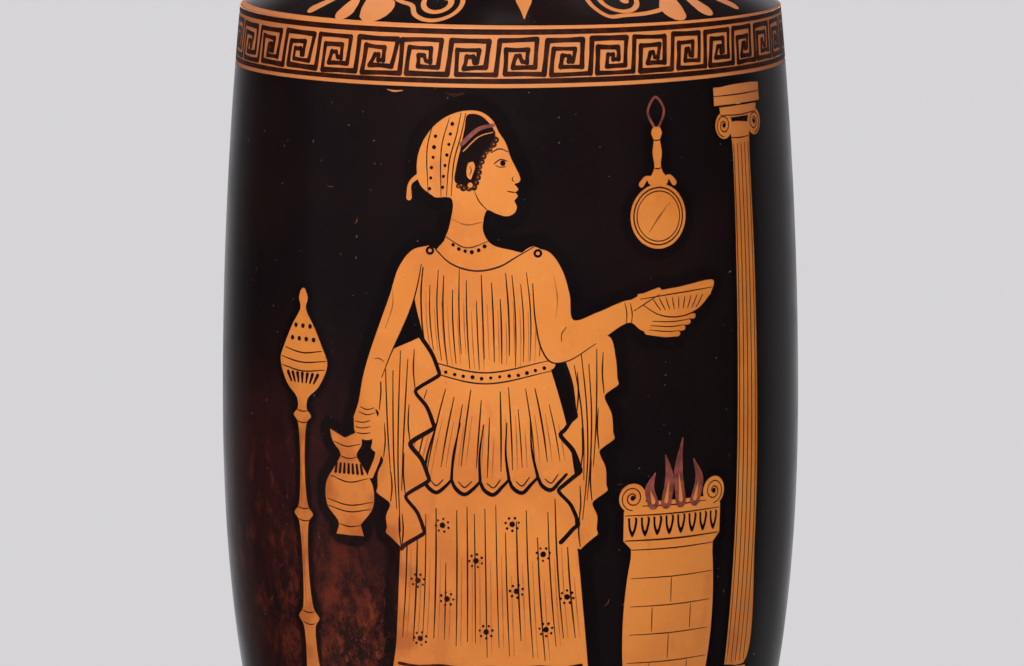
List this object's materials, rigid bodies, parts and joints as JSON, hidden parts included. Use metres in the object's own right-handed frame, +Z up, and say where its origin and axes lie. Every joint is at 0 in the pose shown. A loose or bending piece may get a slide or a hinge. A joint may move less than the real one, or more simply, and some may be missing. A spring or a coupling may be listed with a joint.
{
  "type": "red-figure vase",
  "caption": "Tall one-handled oil vase of black-coated fired clay with reserved red figures, a flat shoulder, a slim neck, a cup mouth and a disc foot.",
  "frame": {"origin": "centre of the circle that the foot stands on", "axes": "+Z up along the vessel's axis of turning; the picture side faces -Y and the handle is at +Y"},
  "size_m": [0.1344, 0.1344, 0.3643],
  "materials": {
    "clay": "matt fired clay",
    "black_gloss": "thin sintered black slip, glossy"
  },
  "bodies": {
    "root": {"foot": "clay", "foot_fillet": "clay", "body": "black_gloss", "shoulder": "black_gloss", "neck_fillet": "clay", "neck": "black_gloss", "mouth": "black_gloss", "handle": "black_gloss"}
  },
  "joints": []
}
